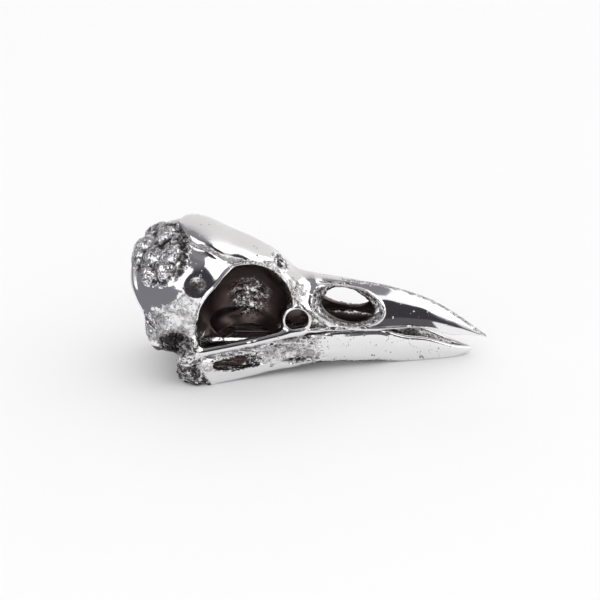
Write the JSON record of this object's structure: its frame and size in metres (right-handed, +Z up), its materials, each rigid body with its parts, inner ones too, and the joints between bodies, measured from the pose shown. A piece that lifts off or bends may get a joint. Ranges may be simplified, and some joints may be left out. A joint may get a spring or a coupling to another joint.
{
  "type": "cast metal crow skull",
  "caption": "Life-size crow skull with its closed lower jaw, a polished one-piece metal casting that lies on the jaw.",
  "frame": {"origin": "middle of the bounding box's foot, on the floor under the skull", "axes": "+X towards the bill's tip, +Y to the bird's left, +Z up"},
  "size_m": [0.093, 0.0332, 0.0395],
  "materials": {
    "cast_metal": "polished casting, left as cast in its hollows"
  },
  "bodies": {
    "root": {"braincase": "cast_metal", "forehead": "cast_metal", "upper_bill": "cast_metal", "cheek_bar_left": "cast_metal", "cheek_bar_right": "cast_metal", "joint_block_left": "cast_metal", "joint_block_right": "cast_metal", "palate_left": "cast_metal", "palate_right": "cast_metal", "jaw_left": "cast_metal", "jaw_right": "cast_metal", "jaw_tip": "cast_metal"}
  },
  "joints": []
}
